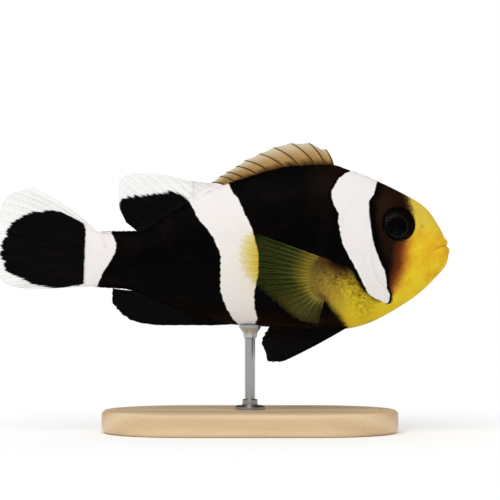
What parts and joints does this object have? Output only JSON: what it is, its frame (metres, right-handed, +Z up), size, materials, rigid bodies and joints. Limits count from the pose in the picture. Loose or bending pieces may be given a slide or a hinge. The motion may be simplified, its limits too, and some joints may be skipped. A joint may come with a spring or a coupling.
{
  "type": "saddleback clownfish model",
  "caption": "Still life-size model of a black and white banded saddleback clownfish with a yellow face, held over a flat base by a thin rod.",
  "frame": {"origin": "centre of the underside of the stand's base, straight below the rod", "axes": "+X towards the snout, +Y towards the fish's left side, +Z up"},
  "size_m": [0.0799, 0.03, 0.0508],
  "materials": {
    "fish_skin": "moist scaled skin, black with white bands and a yellow face",
    "fin_black": "satin rayed membrane, black with a clear white margin",
    "fin_tan": "thin tan membrane with olive-brown spines",
    "fin_olive": "clear yellow membrane with olive rays",
    "eye": "glossy dark eye",
    "stand_wood": "satin pale maple",
    "stand_steel": "satin"
  },
  "bodies": {
    "root": {"head": "fish_skin", "lower_jaw": "fish_skin", "gill_cover_left": "fish_skin", "gill_cover_right": "fish_skin", "trunk": "fish_skin", "tail_stalk": "fish_skin", "tail_fin": "fin_black", "dorsal_fin_soft": "fin_black", "anal_fin": "fin_black", "pelvic_fin_left": "fin_black", "pelvic_fin_right": "fin_black", "dorsal_fin_spiny": "fin_tan", "pectoral_fin_left": "fin_olive", "pectoral_fin_right": "fin_olive", "eye_left": "eye", "eye_right": "eye", "stand_base": "stand_wood", "stand_rod": "stand_steel"}
  },
  "joints": []
}
